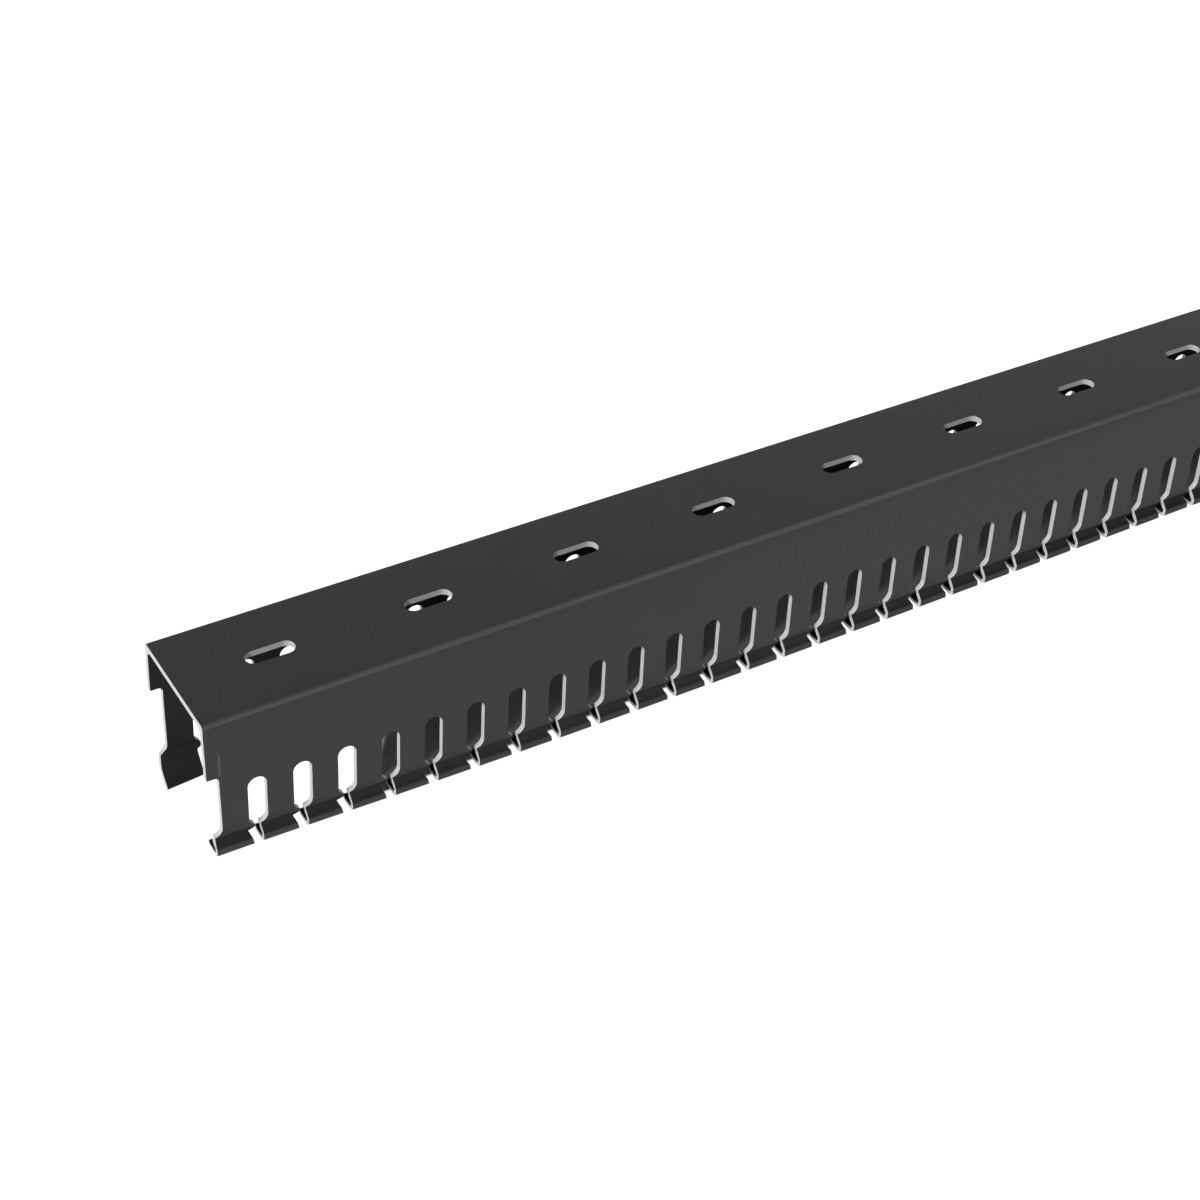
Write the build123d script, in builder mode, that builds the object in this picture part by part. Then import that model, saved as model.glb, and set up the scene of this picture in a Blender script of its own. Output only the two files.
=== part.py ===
"""Slotted wire duct: one length of channel, extruded from rigid PVC, punched and sawn to length.

The duct lies with its base up and its open side down. X runs along the length, Y across,
Z up. The origin is the middle of the footprint, on the floor that the lips stand on.
"""
import os

from build123d import *

# Stock length and section, in millimetres
length = 500.0
width = 35.2
height = 44.3
base_thickness = 1.8
wall_thickness = 1.6
bend_radius = 1.2
corner_fillet = 2.0

# How far each wall leans outwards from the base down to its free edge
wall_splay = 3.0

# Hooked lip of the near wall: it steps out, turns under and runs back inwards
lip_height = 5.2
lip_reach = 1.9
lip_skin = 1.1
lip_turn = 1.2
shoulder_drop = 2.4
foot_width = 2.4
hook_length = 5.8
hook_rise = 1.2
hollow_depth = 0.7

# Plain lip of the far wall: the wall turns inwards and runs down to a blunt toe
flap_height = 6.0
flap_reach = 8.2
flap_toe = 1.2
flap_skin_step = 0.9

# Wall slots, open through the lip; those of the far wall start nearer to the base
slot_pitch = 12.5
slot_width = 5.5
near_slot_start = 23.0
far_slot_start = 15.6
slot_end = 39.0
slot_shift = 0.45
neck_gap = 1.5
neck_shift = -0.35
lip_gap = 2.8
lip_gap_shift = -1.05
nose_depth = 0.7

# The sawn slot at the near end, with its own height and a smaller corner in each wall
near_notch_start = 17.5
far_notch_start = 15.7
notch_corner = 1.2

# Base slots for the fixing screws, counted from the near end
base_slot_first = 25.9
base_slot_pitch = 45.1
base_slot_length = 13.6
base_slot_width = 4.8

# Places worked out from the sizes above
half_length = length / 2
half_width = width / 2
inner_wall = half_width - wall_thickness
lip_outer = half_width + lip_reach
foot_inner = lip_outer - foot_width
hook_tip = lip_outer - hook_length
hollow_end = lip_outer - lip_skin
toe = half_width - flap_reach
slot_bottom = height - slot_end
slot_count = round(length / slot_pitch) + 1
base_slot_count = int((length - base_slot_first - base_slot_length) / base_slot_pitch) + 1
near_reach = lip_outer + wall_splay * (height - lip_turn) / height
far_reach = half_width + wall_splay * (height - flap_height) / height
middle = (near_reach - far_reach) / 2
base_slot_places = [
    (base_slot_first + place * base_slot_pitch - half_length, middle)
    for place in range(base_slot_count)
]
wall_cuts = [
    (width, height - near_slot_start, height - near_notch_start),
    (-width, height - far_slot_start, height - far_notch_start),
]

# Each half of the section as if its wall stood upright, with the radius at each corner
near_section = [
    ((0, height), None),
    ((half_width, height), bend_radius),
    ((half_width, lip_height), 0),
    ((lip_outer, lip_height - shoulder_drop), 0),
    ((lip_outer, lip_turn), 0),
    ((lip_outer - lip_turn, 0), 0),
    ((foot_inner, 0), 0),
    ((hook_tip, hook_rise), 0),
    ((hook_tip, hook_rise + lip_skin), 0),
    ((hollow_end, lip_skin), 0),
    ((hollow_end, lip_skin + hollow_depth), 0),
    ((inner_wall, lip_height - lip_skin), 0),
    ((inner_wall, height - base_thickness), corner_fillet),
    ((0, height - base_thickness), None),
]
far_section = [
    ((0, height), None),
    ((half_width, height), bend_radius),
    ((half_width, flap_height), 0),
    ((toe + wall_thickness, 0), 0),
    ((toe, 0), 0),
    ((toe, flap_toe), 0),
    ((inner_wall, flap_height + flap_skin_step), 0),
    ((inner_wall, height - base_thickness), corner_fillet),
    ((0, height - base_thickness), None),
]


def splayed(section, side):
    """Points of one half, with its wall sheared outwards to the given side."""
    return [
        (middle + side * (y + wall_splay * (height - z) / height if y > 0 else y), z)
        for (y, z), radius in section
    ]



with BuildPart() as duct_channel:
    with BuildSketch(Plane.YZ):
        with BuildLine():
            for section, side in ((near_section, -1), (far_section, 1)):
                FilletPolyline(
                    *splayed(section, side),
                    radius=[radius for point, radius in section[1:-1]],
                )
        make_face()
    extrude(amount=half_length, both=True)

    for reach, slot_top, notch_top in wall_cuts:
        slot_height = slot_top - slot_bottom
        with BuildSketch(Plane.XZ):
            with Locations((slot_shift, 0)):
                with GridLocations(slot_pitch, 0, slot_count, 1):
                    with Locations((0, slot_bottom + slot_height / 2)):
                        SlotOverall(slot_height, slot_width, rotation=90)
                    with Locations((neck_shift, slot_bottom)):
                        Rectangle(neck_gap, 2 * nose_depth)
                    with Locations((lip_gap_shift, slot_bottom - nose_depth)):
                        Rectangle(lip_gap, slot_bottom, align=(Align.CENTER, Align.MAX))
            with Locations((slot_shift - half_length, notch_top)):
                RectangleRounded(
                    slot_width,
                    slot_height,
                    notch_corner,
                    align=(Align.CENTER, Align.MAX),
                )
        extrude(amount=reach, mode=Mode.SUBTRACT)

    with BuildSketch(Plane.XY.offset(height)):
        with Locations(*base_slot_places):
            SlotOverall(base_slot_length, base_slot_width)
    extrude(amount=-2 * base_thickness, mode=Mode.SUBTRACT)

duct_channel.part.label = "duct_channel"
os.makedirs("parts", exist_ok=True)
export_step(duct_channel.part, "parts/duct_channel.step")
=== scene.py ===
"""A length of slotted wire duct in dark plastic, lying with its base up on a white floor."""
import math

import bpy
import numpy as np
from mathutils import Matrix, Vector


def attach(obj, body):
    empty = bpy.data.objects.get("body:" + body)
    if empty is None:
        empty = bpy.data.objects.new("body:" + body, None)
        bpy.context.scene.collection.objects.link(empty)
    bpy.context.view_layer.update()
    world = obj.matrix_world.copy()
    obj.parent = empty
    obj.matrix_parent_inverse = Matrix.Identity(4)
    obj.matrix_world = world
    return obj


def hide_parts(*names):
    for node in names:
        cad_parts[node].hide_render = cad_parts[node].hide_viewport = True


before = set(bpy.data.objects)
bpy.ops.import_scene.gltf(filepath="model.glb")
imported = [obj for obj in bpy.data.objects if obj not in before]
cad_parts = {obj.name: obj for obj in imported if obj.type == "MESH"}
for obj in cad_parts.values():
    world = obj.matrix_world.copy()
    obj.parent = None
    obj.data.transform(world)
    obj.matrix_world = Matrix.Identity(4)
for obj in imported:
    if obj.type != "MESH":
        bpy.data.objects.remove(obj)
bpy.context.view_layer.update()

MM = 0.001
TINY = 1e-6

# Section, in millimetres. The last is the base's middle line, measured from the footprint's.
LENGTH = 500.0
WIDTH = 35.2
HEIGHT = 44.3
BASE_THICKNESS = 1.8
WALL_THICKNESS = 1.6
BEND_RADIUS = 1.2
FILLET_RADIUS = 2.0
NECK_HEIGHT = 5.3
MIDDLE = 1.11

# Lip of the near wall: matched points of its outside and of its inside, as distances outwards
# from the wall's outer face and down from the neck. Both bulge outwards, turn under and run
# back inwards as an open hook.
NEAR_LIP = [
    ((0.0, 0.0), (-1.6, 0.0)),
    ((0.1, 0.35), (-1.55, 0.5)),
    ((0.5, 0.8), (-1.35, 1.0)),
    ((0.85, 1.2), (-0.8, 1.6)),
    ((1.2, 1.6), (-0.35, 2.05)),
    ((1.5, 2.0), (0.1, 2.45)),
    ((1.7, 2.3), (0.45, 2.75)),
    ((1.85, 2.6), (0.75, 3.05)),
    ((1.9, 3.0), (0.9, 3.4)),
    ((1.9, 4.1), (0.9, 3.9)),
    ((1.75, 4.75), (0.75, 4.2)),
    ((1.3, 5.2), (0.4, 4.35)),
    ((0.6, 5.3), (-0.2, 4.4)),
    ((-2.4, 5.3), (-2.3, 4.4)),
    ((-3.4, 5.0), (-2.9, 4.25)),
    ((-3.85, 4.5), (-3.2, 3.95)),
    ((-3.95, 4.0), (-3.35, 3.7)),
]

# Lip of the far wall: a flap that leans inwards and ends in a blunt toe with small bevels
FLAP_HEIGHT = 6.0
FLAP_REACH = 8.2
FLAP_TOE = 0.8
FLAP_STEP = -0.3
TOE_BEVEL = 0.25
FLAP_ROWS = np.array([5.1, 4.9, 4.7, 4.5, 4.0, 3.2, 2.4, 1.8, 1.2, FLAP_TOE, 0.6, 0.4, 0.15, 0.0])

# The walls lean outwards, least at the cut end in front: how far at the floor, over which run
# along the length it grows, and over which width of the base it fades out
END_SPLAY = 0.6
NEAR_SPLAY = 4.2
FAR_SPLAY = 1.6
SPLAY_RUN = 95.0
SPLAY_RISE = 1.5
SPLAY_FALL = 0.9
SPLAY_FADE = 12.0

# Wall slots, with the heights of the slots' tops and of the sawn slot at the end
PITCH = 12.5
SLOT_COUNT = 39
SLOT_SHIFT = 0.6
SLOT_RADIUS = 2.6
NOTCH_CORNER = 1.2
NEAR_TOPS = (HEIGHT - 22.8, HEIGHT - 18.6)
FAR_TOPS = (HEIGHT - 15.6, HEIGHT - 15.7)

# Sides of the fingers below the slots, from a slot's middle line: the finger to its right, the
# nose of the one to its left, and where that one's lip ends at the heights of the slant
LEFT_OF_FINGER = 0.4
NOSE = -1.1
NOSE_DEPTH = 0.35
NOSE_TURN = 0.3
NEAR_LIP_END = (-3.7, -1.9)
FAR_LIP_END = (-2.45, -2.45)
SLANT = (4.6, 1.9)

# Base slots
HOLE_FIRST = 25.9
HOLE_PITCH = 45.1
HOLE_LENGTH = 13.6
HOLE_RADIUS = 2.4
HOLE_COUNT = 11
HOLE_FADE = 8.0

# Rows and columns of the mesh: places across half the base, points of a bend, the first and
# last plain rows above the slots, heights between two rows at the sawn slot's flat top and in
# the lips, and columns of a sheet
BASE_ROWS = np.array([0.0, 2.0, 4.5, 8.0, 11.5])
ARC_ROWS = 9
CORNER_ROWS = 5
HOLE_COLUMNS = 7
PLAIN_TOP = 5.0
PLAIN_FOOT = 3.0
PLAIN_ROWS = 4
STRAIGHT_ROWS = 5
TOP_STEP = 0.02
LIP_STEP = 0.15
COLUMNS = 3
COLUMN_GAP = 0.05
WELD_DIGITS = 4
SHARP_ANGLE = 32

# Far slots further along, as (place along the length, shift), fading in below the base
FAR_DRIFT = [(0, 0), (15, 0.5), (70, 0.4), (160, 1.6), (270, 1.6), (360, 0)]
DRIFT_FADE = (HEIGHT - 5, HEIGHT - 12)

# Bent shape at the cut end: how far the first lips reach into the corners, how far the near
# slots and wall are shifted and lifted, how the first flap stands askew, how far the far slots'
# tops sink beyond the end, and how far the sawn face stands out
CORNER_RUN = 6.0
NEAR_CORNER = 0.4
FAR_CORNER = 0.85
NEAR_SHIFT = 0.25
NEAR_LIFT = 0.4
NEAR_LIFT_RUN = 55.0
NEAR_LIFT_FADE = (HEIGHT - 4, HEIGHT - 20)
FLAP_ASKEW = 0.85
FLAP_ASKEW_RUN = (14, 12)
FLAP_INWARDS = 1.6
FLAP_INWARDS_RUN = 19.0
TOP_SINK = 1.5
TOP_SINK_RUN = (20, 130)
TOP_SINK_HEAD = (HEIGHT - 6, HEIGHT - 12)
TOP_SINK_FOOT = (8, 16)
FACE_OUT = 0.3
FACE_OUT_RUN = 12.0
FACE_OUT_RISE = (8, 23)


def ramp(value, start, end):
    """0 at the start, 1 at the end, a straight rise between them and level beyond them."""
    return np.clip((value - start) / (end - start), 0, 1)


def smooth(share):
    """A rise from 0 to 1 made soft at both ends."""
    return share * share * (3 - 2 * share)


def arc_points(centre, radius, start, end, count):
    """Points on a circle of that radius from the start angle to the end angle, in degrees."""
    turn = np.radians(np.linspace(start, end, count))
    return np.stack([centre[0] + radius * np.cos(turn), centre[1] + radius * np.sin(turn)], 1)


def round_fall(count):
    """Depths below the top of a quarter circle of radius 1, at even angles."""
    return 1 - np.cos(np.linspace(0, np.pi / 2, count))


def near_lip_rows():
    """Outer and inner line of the near lip as (across, up), from the list of matched points.
    Each run between two points is halved, with its middle on the curve through four points
    (9/16 of the two near ones less 1/16 of the two far ones)."""
    points = np.array(NEAR_LIP)
    padded = np.concatenate([points[:1], points, points[-1:]])
    middles = (padded[1:-2] + padded[2:-1]) * 9 / 16 - (padded[:-3] + padded[3:]) / 16
    rows = np.empty((2 * len(points) - 1, 2, 2))
    rows[::2] = points
    rows[1::2] = middles
    rows = rows * np.array([1.0, -1.0]) + np.array([WIDTH / 2, NECK_HEIGHT])
    rows[..., 1] = np.maximum(rows[..., 1], 0)
    return rows[1:, 0], rows[1:, 1]


def far_lip_rows():
    """Outer and inner line of the far lip at heights from the neck to the floor. Each face
    falls straight from the wall to the toe, and the toe's own face is upright."""
    return [np.stack([face(FLAP_ROWS), FLAP_ROWS], 1) for face in (flap_outer, flap_inner)]


def flap_outer(up):
    """How far out the far wall's outer face stands at a height: upright down to the flap."""
    run = (FLAP_REACH - WALL_THICKNESS) / FLAP_HEIGHT
    lean = run * np.clip(FLAP_HEIGHT - up, 0, None)
    return WIDTH / 2 - lean - TOE_BEVEL * ramp(up, TOE_BEVEL, 0)


def flap_inner(up):
    """The same for its inner face, which turns a little lower and ends at the toe."""
    top = FLAP_HEIGHT + FLAP_STEP
    run = (FLAP_REACH - WALL_THICKNESS) / (top - FLAP_TOE)
    lean = run * np.clip(top - np.maximum(up, FLAP_TOE), 0, None)
    return WIDTH / 2 - WALL_THICKNESS - lean + TOE_BEVEL * ramp(up, TOE_BEVEL, 0)


def wall_heights(tops):
    """Heights of the rows on the wall, close together where the slots' outline turns."""
    slot_top, notch_top = tops
    ease = np.sin(np.linspace(0, np.pi / 2, ARC_ROWS))
    parts = [
        np.linspace(HEIGHT - PLAIN_TOP, notch_top + PLAIN_FOOT, PLAIN_ROWS),
        [notch_top],
        notch_top - TOP_STEP - NOTCH_CORNER * round_fall(CORNER_ROWS),
        slot_top - SLOT_RADIUS * round_fall(ARC_ROWS),
        np.linspace(NECK_HEIGHT + SLOT_RADIUS, slot_top - SLOT_RADIUS, STRAIGHT_ROWS),
        NECK_HEIGHT + SLOT_RADIUS * (1 - ease),
    ]
    return np.unique(np.round(np.concatenate(parts), 3))[::-1]


def profile_rows(tops, far):
    """Outer and inner line of half the section, as matched rows of (across, up), from the
    middle of the base round the bend, down the wall and round the lip. Also each row's height
    for the slots' outline, which is the row's own on the wall and falls on evenly in the lip,
    and whether the row lies on the wall or the lip."""
    half = WIDTH / 2
    inner_half = half - WALL_THICKNESS
    ceiling = HEIGHT - BASE_THICKNESS
    wall_z = wall_heights(tops)
    if far:
        walls = (flap_outer(wall_z), flap_inner(wall_z))
        lips = far_lip_rows()
    else:
        walls = (np.full(len(wall_z), half), np.full(len(wall_z), inner_half))
        lips = near_lip_rows()
    bend = arc_points((half - BEND_RADIUS, HEIGHT - BEND_RADIUS), BEND_RADIUS, 90, 0, ARC_ROWS)
    fillet_centre = (inner_half - FILLET_RADIUS, ceiling - FILLET_RADIUS)
    fillet = arc_points(fillet_centre, FILLET_RADIUS, 90, 0, ARC_ROWS)
    outer, inner = [
        np.concatenate(
            [
                np.stack([BASE_ROWS, np.full(len(BASE_ROWS), level)], 1),
                corner,
                np.stack([wall, wall_z], 1),
                lip,
            ]
        )
        for level, corner, wall, lip in zip((HEIGHT, ceiling), (bend, fillet), walls, lips)
    ]
    wall_start = len(BASE_ROWS) + ARC_ROWS
    cut_z = outer[:, 1].copy()
    cut_z[wall_start + len(wall_z) :] = NECK_HEIGHT - LIP_STEP * np.arange(1, len(lips[0]) + 1)
    return outer, inner, cut_z, np.arange(len(outer)) >= wall_start


def circle_reach(depth, radius):
    """How far a round corner reaches sideways at a depth below its highest line."""
    return np.sqrt(np.clip(radius**2 - (radius - np.clip(depth, 0, radius)) ** 2, 0, None))


def slot_side(z, slot_top, neck):
    """Half width of a slot at a height: the round top, the straight side, and the round foot
    that comes back to the neck's own half width and stays there in the lip."""
    top = circle_reach(slot_top - z, SLOT_RADIUS)
    foot = circle_reach(z - NECK_HEIGHT, SLOT_RADIUS)
    return np.where(z < NECK_HEIGHT + SLOT_RADIUS, np.maximum(foot, neck), top)


def finger_left(z, slot_top):
    """Left side of a finger, from the middle line of the slot to its left."""
    return slot_side(z, slot_top, LEFT_OF_FINGER)


def finger_right(z, slot_top, lip_end):
    """Right side of a finger, from the middle line of the slot to its right. It mirrors the
    left side down to the nose, and the lip below the nose ends further back, on a slant."""
    side = -slot_side(z, slot_top, -NOSE)
    nose = NECK_HEIGHT - NOSE_DEPTH
    end = lip_end[0] + (lip_end[1] - lip_end[0]) * ramp(z, *SLANT)
    return side + (end - side) * smooth(ramp(z, nose, nose - NOSE_TURN))


def notch_left(z, notch_top):
    """Left side of the first finger, from the cut end: flat top, small corner, straight side,
    then the same foot as the other fingers."""
    corner = circle_reach(notch_top - TOP_STEP - z, NOTCH_CORNER)
    side = SLOT_SHIFT + SLOT_RADIUS - NOTCH_CORNER + corner
    upper = np.where(z > notch_top - TOP_STEP / 2, 0.0, side)
    low = z < NECK_HEIGHT + SLOT_RADIUS
    return np.where(low, SLOT_SHIFT + finger_left(z, notch_top), upper)


def hole_columns():
    """Places along the length where a base slot's round ends need a column."""
    fall = HOLE_RADIUS * round_fall(HOLE_COLUMNS)
    starts = HOLE_FIRST + HOLE_PITCH * np.arange(HOLE_COUNT) - HOLE_LENGTH / 2
    both = np.concatenate([fall, HOLE_LENGTH - fall])
    return (starts[:, None] + both[None, :]).ravel()


def hole_edge(x):
    """Half width of the base slot at a place along the length, 0 between the slots."""
    from_start = x - HOLE_FIRST + HOLE_PITCH / 2
    local = from_start % HOLE_PITCH - HOLE_PITCH / 2
    index = np.floor(from_start / HOLE_PITCH)
    depth = HOLE_LENGTH / 2 - np.abs(local)
    inside = (depth > TINY) & (index >= 0) & (index < HOLE_COUNT)
    return np.where(inside, circle_reach(depth, HOLE_RADIUS), 0.0)


def splay(points, full):
    """How far a point of the wall stands out beyond the upright. Along the length it rises
    from the end's splay to the full one, as 1 minus e to the minus (run / reach) to the 1.5,
    and down the wall it grows as the depth below the base to the power 0.9."""
    along, across, up = points.T
    share = 1 - np.exp(-((np.clip(along, 0, None) / SPLAY_RUN) ** SPLAY_RISE))
    depth = ramp(up, HEIGHT, 0) ** SPLAY_FALL
    return (END_SPLAY + (full - END_SPLAY) * share) * depth * ramp(across, 0, SPLAY_FADE)


def far_drift(points):
    """How far the far wall's slots sit further along than the near wall's: straight lines
    between a few places along the length, and nothing in the base."""
    along, across, up = points.T
    return np.interp(along, *zip(*FAR_DRIFT)) * smooth(ramp(up, *DRIFT_FADE))


def first_lip(along, up):
    """1 in the first lip at the cut end, fading along it and over its upper third."""
    return ramp(along, CORNER_RUN, 0) * ramp(up, NECK_HEIGHT, NECK_HEIGHT * 2 / 3)


def near_end_shift(points):
    """Shift of the near wall at the cut end: the first lip is drawn into the corner of the sawn
    slot, and the wall rises a little and moves along over the first slots."""
    along, across, up = points.T
    early = ramp(along, NEAR_LIFT_RUN, 0) * ramp(up, *NEAR_LIFT_FADE)
    run = NEAR_SHIFT * early - NEAR_CORNER * first_lip(along, up)
    return np.stack([run, np.zeros(len(points)), NEAR_LIFT * early], 1)


def far_end_shift(points):
    """Shift of the far wall: the first flap fills the corner of the sawn slot and is bent
    askew, outwards along and inwards across, and the slots' tops sink beyond the end."""
    along, across, up = points.T
    down = ramp(up, NECK_HEIGHT, 0)
    run = FAR_CORNER * first_lip(along, up) + FLAP_ASKEW * down * ramp(along, *FLAP_ASKEW_RUN)
    inwards = FLAP_INWARDS * ramp(along, FLAP_INWARDS_RUN, 0) * down
    band = ramp(up, *TOP_SINK_HEAD) * ramp(up, *TOP_SINK_FOOT)
    sink = TOP_SINK * ramp(along, *TOP_SINK_RUN) * band
    return np.stack([-run, -inwards, -sink], 1)


def end_plane(points):
    """How far the upper part of the sawn end stands out, and the lips don't."""
    along, across, up = points.T
    return FACE_OUT * ramp(along, FACE_OUT_RUN, 0) * ramp(up, *FACE_OUT_RISE)


def strip(first, last):
    """Quads between two matched lines of point numbers."""
    return np.stack([first[:-1], last[:-1], last[1:], first[1:]], -1)


def sheet_sides(cell, low, high, cut_z, tops, lip_end):
    """Left and right side of a sheet's finger at each row. The first sheet starts at the sawn
    slot, and the last one ends at the far end."""
    left = notch_left(cut_z, tops[1]) if cell == 0 else low + finger_left(cut_z, tops[0])
    slot_x = SLOT_SHIFT + PITCH * (cell + 1)
    return left, np.minimum(slot_x + finger_right(cut_z, tops[0], lip_end), high)


def sheet_columns(low, high):
    """Columns of a sheet as shares of its width: even ones, and those of the base slots."""
    own = hole_columns()
    own = own[(own > low + COLUMN_GAP) & (own < high - COLUMN_GAP)]
    even = np.arange(COLUMNS) / COLUMNS
    return np.unique(np.round(np.concatenate([even, (own - low) / (high - low), [1.0]]), 6))


def sheet_points(left, right, share, edge, lines):
    """Points of a sheet on its outer and inner line. A base slot pushes the rows of the base
    outwards from the middle line, less and less with distance."""
    x = left[:, None] + (right - left)[:, None] * share[None, :]
    layers = []
    for line in lines:
        across = np.repeat(line[:, :1], len(share), 1)
        across = across + edge[None, :] * ramp(across, HOLE_FADE, 0)
        up = np.repeat(line[:, 1:], len(share), 1)
        layers.append(np.stack([x, across, up], -1))
    return np.stack(layers).reshape(-1, 3)


def sheet_faces(index, open_left, open_right, hole):
    """Quads of a sheet and their finish: 0 outside, -1 inside and 1 where the punch or the saw
    cut, at the sides that are open and along a base slot. The lip's own edge counts as
    outside."""
    a, b = index[:, :-1, :-1], index[:, 1:, :-1]
    c, d = index[:, 1:, 1:], index[:, :-1, 1:]
    kinds = [
        (np.stack([a[0], b[0], c[0], d[0]], -1).reshape(-1, 4), 0.0),
        (np.stack([a[1], d[1], c[1], b[1]], -1).reshape(-1, 4), -1.0),
        (strip(index[0, :, 0], index[1, :, 0])[open_left[:-1] | open_left[1:]], 1.0),
        (strip(index[1, :, -1], index[0, :, -1])[open_right[:-1] | open_right[1:]], 1.0),
        (strip(index[1, 0], index[0, 0])[hole[:-1] | hole[1:]], 1.0),
        (strip(index[0, -1], index[1, -1]), 0.0),
    ]
    faces = np.concatenate([quads for quads, kind in kinds])
    return faces, np.concatenate([np.full(len(quads), kind) for quads, kind in kinds])


def wall_half(tops, far):
    """One half of the channel, on the side of positive y, as points, faces and the faces'
    finish. One sheet per pitch, from one slot's middle line to the next, holds rows of the
    section and columns between the finger's two sides."""
    outer, inner, cut_z, on_wall = profile_rows(tops, far)
    lip_end = FAR_LIP_END if far else NEAR_LIP_END
    borders = np.concatenate([[0.0], SLOT_SHIFT + PITCH * np.arange(1, SLOT_COUNT + 1), [LENGTH]])
    points, faces, finishes = [], [], []
    start = 0
    for cell, (low, high) in enumerate(zip(borders[:-1], borders[1:])):
        left, right = sheet_sides(cell, low, high, cut_z, tops, lip_end)
        left = np.where(on_wall, left, low)
        right = np.where(on_wall, right, high)
        share = sheet_columns(low, high)
        edge = hole_edge(low + (high - low) * share)
        points.append(sheet_points(left, right, share, edge, (outer, inner)))
        index = start + np.arange(len(points[-1])).reshape(2, len(outer), len(share))
        start += index.size
        open_left = (np.abs(left - low) > TINY) | (cell == 0)
        open_right = (np.abs(right - high) > TINY) | (cell == SLOT_COUNT)
        quads, finish = sheet_faces(index, open_left, open_right, edge > TINY)
        faces.append(quads)
        finishes.append(finish)
    points = np.concatenate(points)
    points += far_end_shift(points) if far else near_end_shift(points)
    if far:
        points[:, 0] += far_drift(points)
    points[:, 1] += splay(points, FAR_SPLAY if far else NEAR_SPLAY)
    return points, np.concatenate(faces), np.concatenate(finishes)


def duct_mesh(name):
    """The channel as one closed mesh of two halves. The near half is mirrored to negative y,
    so the far half's faces are the ones turned round, and points that fall together are made
    one."""
    far, far_faces, far_finish = wall_half(FAR_TOPS, True)
    near, near_faces, near_finish = wall_half(NEAR_TOPS, False)
    near = near * np.array([1.0, -1.0, 1.0])
    points = np.concatenate([far, near])
    points[:, 0] -= end_plane(points)
    points += np.array([-LENGTH / 2, MIDDLE, 0])
    faces = np.concatenate([far_faces[:, ::-1], near_faces + len(far)])
    key, where = np.unique(np.round(points, WELD_DIGITS), axis=0, return_inverse=True)
    mesh = bpy.data.meshes.new(name)
    mesh.from_pydata(key * MM, [], where.reshape(-1)[faces].tolist())
    finish = mesh.attributes.new("finish", "FLOAT", "FACE")
    finish.data.foreach_set("value", np.concatenate([far_finish, near_finish]))
    return mesh


duct = bpy.data.objects.new("duct", duct_mesh("duct"))
bpy.context.scene.collection.objects.link(duct)
duct.data.shade_smooth()
duct.data.set_sharp_from_angle(angle=math.radians(SHARP_ANGLE))
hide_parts("duct_channel")
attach(duct, "root")

# Colours of the plastic, from the darker to the paler cloud, then of its zones, among them
# painted highlights on the bend and the crease and painted shade inside
SKIN_DARK = (0.007, 0.007, 0.0074, 1)
SKIN_PALE = (0.011, 0.011, 0.0114, 1)
FAR_RUN_COLOUR = (0.002, 0.002, 0.002, 1)
# Painted highlight: a lighter line for the lit side of a crease up the near wall
CREASE_HIGHLIGHT_COLOUR = (0.10, 0.10, 0.10, 1)
# Painted highlight: a paler band along the lower half of the near bend
BEND_HIGHLIGHT_COLOUR = (0.050, 0.050, 0.051, 1)
# Painted shade: the inside faces of the channel are darker
INSIDE_SHADE_COLOUR = (0.006, 0.006, 0.0062, 1)
CUT_COLOUR = (0.40, 0.40, 0.40, 1)
CREASE_SHARE = 0.5

# Roughness of the plastic, what its zones add to it, and its sheen
ROUGHNESS = 0.42
CUT_ROUGHER = 0.3
INSIDE_ROUGHER = 0.4
FOOT_ROUGHER = 0.15
SHEEN = 0.34

# Zones of the plastic, in metres: where each fades in and where it is full
FAR_RUN_ALONG = (-0.10, 0.10)
FAR_RUN_ACROSS = (-0.0155, -0.0165)
CREASE_LEFT = (-0.24685, -0.24665)
CREASE_RIGHT = (-0.24620, -0.24640)
CREASE_FOOT = (0.0262, 0.0268)
CREASE_HEAD = (0.0352, 0.0325)
CREASE_ACROSS = (-0.010, -0.014)
BEND_FOOT = (0.04300, 0.04340)
BEND_HEAD = (0.04415, 0.04385)
BEND_ACROSS = (-0.0150, -0.0155)
LIP_FOOT = (0.0030, 0.0012)

# Floor: size and depth in metres, colours with a painted shadow under the duct, glow with
# painted light in the footprint, and its zones
FLOOR_SIZE = 6.0
FLOOR_DEPTH = 0.0005
FLOOR_COLOUR = (0.33, 0.33, 0.33, 1)
# Painted shadow: the floor is darker in the strip under the closed part of the duct
UNDER_SHADOW_COLOUR = (0.22, 0.22, 0.22, 1)
FLOOR_GLOW = 0.70
# Painted light: extra glow within the duct's footprint and behind it keeps the shaded gaps white
FOOTPRINT_GLOW = 0.26
FOOTPRINT_FRONT = (-0.024, -0.021)
FOOTPRINT_BACK = (0.090, 0.070)
FOOTPRINT_START = (-0.2515, -0.2495)
UNDER_HALF = (0.0172, 0.0160)
UNDER_START = (-0.208, -0.203)
UNDER_CORNER = 0.0165
UNDER_SLANT = 0.71

# World: weight of the height against the far side, where its light rises, most and least light
SKY_HEIGHT = 0.8
SKY_RISE = (-0.4, 0.3)
SKY_MOST = 0.63
SKY_LEAST = 0.03

# Camera fitted to the photograph: angles in radians, focal length and frame in the
# photograph's pixels, and its place in millimetres from the base's near end
AZIMUTH = 0.61934
ELEVATION = 0.69445
ROLL = 0.09821
FOCAL_PIXELS = 2152.69
FRAME_PIXELS = 1200
SENSOR_WIDTH = 36
CAMERA_PLACE = (-141.357, -374.504, 362.314)


def feed(tree, socket, value):
    """Gives an input socket a value, or links it where the value is an output."""
    if isinstance(value, Value):
        tree.links.new(value.socket, socket)
    else:
        socket.default_value = value


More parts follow.
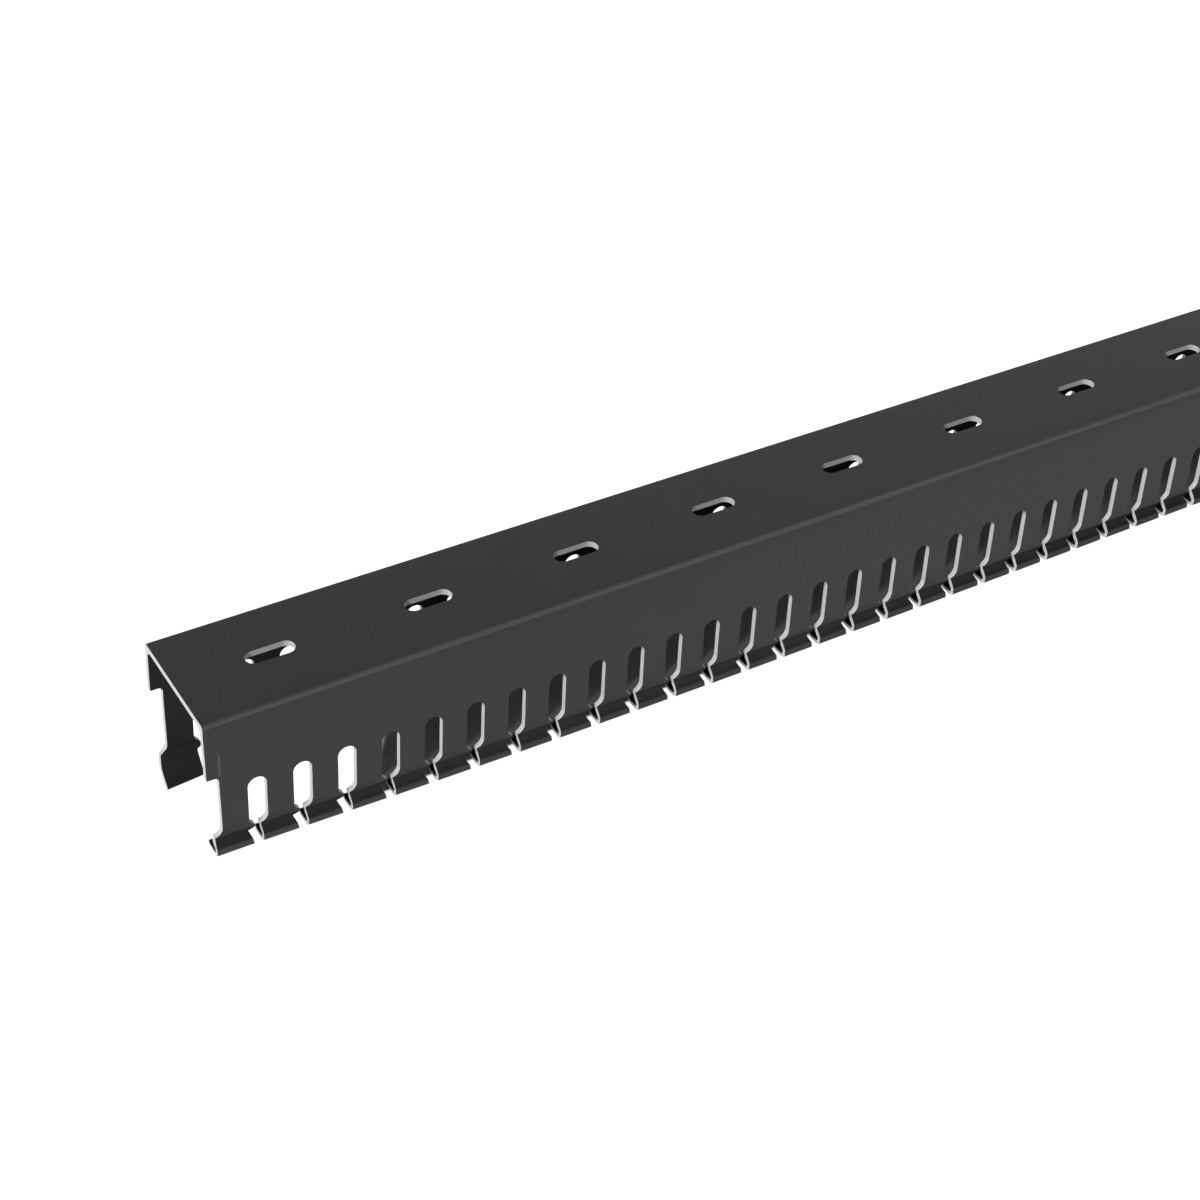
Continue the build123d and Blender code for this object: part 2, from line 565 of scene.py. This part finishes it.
class Value:
    """A shader socket with the usual sums, so that a pattern is written as an expression."""

    def __init__(self, tree, socket):
        self.tree = tree
        self.socket = socket

    def maths(self, operation, *others, clamp=False):
        node = self.tree.nodes.new("ShaderNodeMath")
        node.operation = operation
        node.use_clamp = clamp
        for place, other in enumerate((self, *others)):
            feed(self.tree, node.inputs[place], other)
        return Value(self.tree, node.outputs[0])

    def __add__(self, other):
        return self.maths("ADD", other)

    def __mul__(self, other):
        return self.maths("MULTIPLY", other)

    def __sub__(self, other):
        return self.maths("SUBTRACT", other)

    def __truediv__(self, other):
        return self.maths("DIVIDE", other)

    def __radd__(self, other):
        return self + other

    def __rmul__(self, other):
        return self * other

    def __rsub__(self, other):
        return self * -1.0 + other

    def step(self, low, high):
        """0 at low and before it, 1 at high and beyond it, with a smooth rise between them."""
        share = ((self - low) / (high - low)).maths("ADD", 0.0, clamp=True)
        return share * share * (3.0 - 2.0 * share)


class Shader:
    """A material whose nodes are made by one method each."""

    def __init__(self, name):
        self.material = bpy.data.materials.new(name)
        self.material.use_nodes = True
        self.tree = self.material.node_tree
        self.surface = self.tree.nodes["Principled BSDF"]

    def node(self, kind, settings=None, sockets=None, output=0):
        made = self.tree.nodes.new(kind)
        for key, value in (settings or {}).items():
            setattr(made, key, value)
        for key, value in (sockets or {}).items():
            feed(self.tree, made.inputs[key], value)
        return Value(self.tree, made.outputs[output])

    def place(self):
        """The object's own coordinates, together and as x, y and z."""
        whole = self.node("ShaderNodeTexCoord", output=3)
        parts = [self.node("ShaderNodeSeparateXYZ", None, {0: whole}, k) for k in range(3)]
        return whole, *parts

    def mix(self, factor, first, second):
        settings = {"data_type": "RGBA"}
        return self.node("ShaderNodeMix", settings, {0: factor, 6: first, 7: second}, 2)

    def set(self, name, value):
        feed(self.tree, self.surface.inputs[name], value)


def plastic():
    """Dark plastic with a dull sheen, duller inside and darker there as painted shade. Punched and
    sawn faces are a light grey, the near bend carries a painted highlight as a paler band, the
    near wall darkens towards the far end, and a faint line runs up the near wall from the corner
    of the sawn slot, a crease drawn as a painted highlight."""
    shader = Shader("duct_plastic")
    place, x, y, z = shader.place()
    finish = shader.node("ShaderNodeAttribute", {"attribute_name": "finish"}, output=2)
    cut = finish.maths("MAXIMUM", 0.0)
    inside = (finish * -1.0).maths("MAXIMUM", 0.0)
    cloud = shader.node("ShaderNodeTexNoise", None, {"Vector": place, "Scale": 60.0, "Detail": 2.0})
    skin = shader.mix(cloud, SKIN_DARK, SKIN_PALE)
    above = z.step(*CREASE_FOOT) * z.step(*CREASE_HEAD) * y.step(*CREASE_ACROSS)
    line = x.step(*CREASE_LEFT) * x.step(*CREASE_RIGHT) * above
    bend = z.step(*BEND_FOOT) * z.step(*BEND_HEAD) * y.step(*BEND_ACROSS)
    far_run = x.step(*FAR_RUN_ALONG) * y.step(*FAR_RUN_ACROSS)
    skin = shader.mix(far_run, skin, FAR_RUN_COLOUR)
    # Painted highlight: the crease line is mixed in lighter than the skin
    skin = shader.mix(line * CREASE_SHARE, skin, CREASE_HIGHLIGHT_COLOUR)
    # Painted highlight along the lower half of the near bend
    skin = shader.mix(bend, skin, BEND_HIGHLIGHT_COLOUR)
    # Painted shade on the inside faces
    skin = shader.mix(inside, skin, INSIDE_SHADE_COLOUR)
    shader.set("Base Color", shader.mix(cut, skin, CUT_COLOUR))
    foot = z.step(*LIP_FOOT)
    rough = ROUGHNESS + cut * CUT_ROUGHER + inside * INSIDE_ROUGHER + foot * FOOT_ROUGHER
    shader.set("Roughness", rough)
    shader.set("Specular IOR Level", SHEEN)
    return shader.material


duct.data.materials.append(plastic())


def floor_plane(name, size):
    """A square in the plane of the floor, from minus the size to the size both ways."""
    mesh = bpy.data.meshes.new(name)
    corners = np.array([(-1, -1, 0), (1, -1, 0), (1, 1, 0), (-1, 1, 0)]) * size
    mesh.from_pydata(corners, [], [(0, 1, 2, 3)])
    made = bpy.data.objects.new(name, mesh)
    bpy.context.scene.collection.objects.link(made)
    return made


def floor_material():
    """White floor that glows, most within the duct's footprint and behind it, painted light that
    keeps it white in the gaps and at the open end where shade would fall. Further in, the strip
    under the closed part has no glow and a darker colour, a painted shadow, and only gets the
    light that falls through the slots."""
    shader = Shader("floor_white")
    along, across = shader.place()[1:3]
    sides = across.step(*FOOTPRINT_FRONT) * across.step(*FOOTPRINT_BACK)
    footprint = sides * along.step(*FOOTPRINT_START)
    inner = across.maths("ABSOLUTE").step(*UNDER_HALF)
    under = inner * (along - (across + UNDER_CORNER) * UNDER_SLANT).step(*UNDER_START)
    # Painted light in the footprint, and painted shadow in the strip under the duct
    glow = (FLOOR_GLOW + footprint * FOOTPRINT_GLOW) * (1.0 - under)
    shader.set("Base Color", shader.mix(under, FLOOR_COLOUR, UNDER_SHADOW_COLOUR))
    shader.set("Roughness", 0.9)
    shader.set("Emission Color", shader.mix(glow, (0, 0, 0, 1), (1, 1, 1, 1)))
    shader.set("Emission Strength", 1.0)
    return shader.material


floor = floor_plane("floor", FLOOR_SIZE)
floor.location.z = -FLOOR_DEPTH
floor.data.materials.append(floor_material())


def sun_light(name, travel, strength, softness):
    """Even light that travels along a direction, as from a large lamp far away."""
    data = bpy.data.lights.new(name, "SUN")
    data.energy = strength
    data.angle = math.radians(softness)
    made = bpy.data.objects.new(name, data)
    made.rotation_mode = "QUATERNION"
    made.rotation_quaternion = Vector(travel).to_track_quat("-Z", "Y")
    bpy.context.scene.collection.objects.link(made)
    return made


sun_light("key_left", travel=(0.78, 0.26, -0.57), strength=3.6, softness=8)
sun_light("soft_top", travel=(-0.44, 0.22, -0.87), strength=0.8, softness=45)


def studio_world():
    """Soft white light from beyond the far side of the floor, with a dim side behind the
    camera."""
    world = bpy.data.worlds.new("studio")
    world.use_nodes = True
    tree = world.node_tree
    way = tree.nodes.new("ShaderNodeTexCoord")
    parts = tree.nodes.new("ShaderNodeSeparateXYZ")
    tree.links.new(way.outputs["Generated"], parts.inputs[0])
    far_side, height = [Value(tree, parts.outputs[axis]) for axis in "YZ"]
    light = (far_side + height * SKY_HEIGHT).step(*SKY_RISE) * SKY_MOST + SKY_LEAST
    backdrop = tree.nodes["Background"]
    backdrop.inputs["Color"].default_value = (1, 1, 1, 1)
    feed(tree, backdrop.inputs["Strength"], light)
    return world


bpy.context.scene.world = studio_world()
bpy.context.scene.view_settings.view_transform = "Standard"


def photo_camera():
    """A camera at the photograph's place. Azimuth turns it from looking along +Y towards +X,
    elevation tips it down and roll turns it about its own line of sight."""
    sight = Vector(
        (
            math.sin(AZIMUTH) * math.cos(ELEVATION),
            math.cos(AZIMUTH) * math.cos(ELEVATION),
            -math.sin(ELEVATION),
        )
    )
    level = Vector((math.cos(AZIMUTH), -math.sin(AZIMUTH), 0))
    upright = level.cross(sight)
    right = level * math.cos(ROLL) + upright * math.sin(ROLL)
    up = upright * math.cos(ROLL) - level * math.sin(ROLL)
    data = bpy.data.cameras.new("photo_camera")
    data.sensor_width = SENSOR_WIDTH
    data.lens = FOCAL_PIXELS * SENSOR_WIDTH / FRAME_PIXELS
    made = bpy.data.objects.new("photo_camera", data)
    near_end = (-LENGTH / 2, MIDDLE, HEIGHT)
    place = Vector([base + own for base, own in zip(near_end, CAMERA_PLACE)]) * MM
    turn = Matrix((right, up, -sight)).transposed().to_4x4()
    made.matrix_world = Matrix.Translation(place) @ turn
    bpy.context.scene.collection.objects.link(made)
    return made


bpy.context.scene.camera = photo_camera()
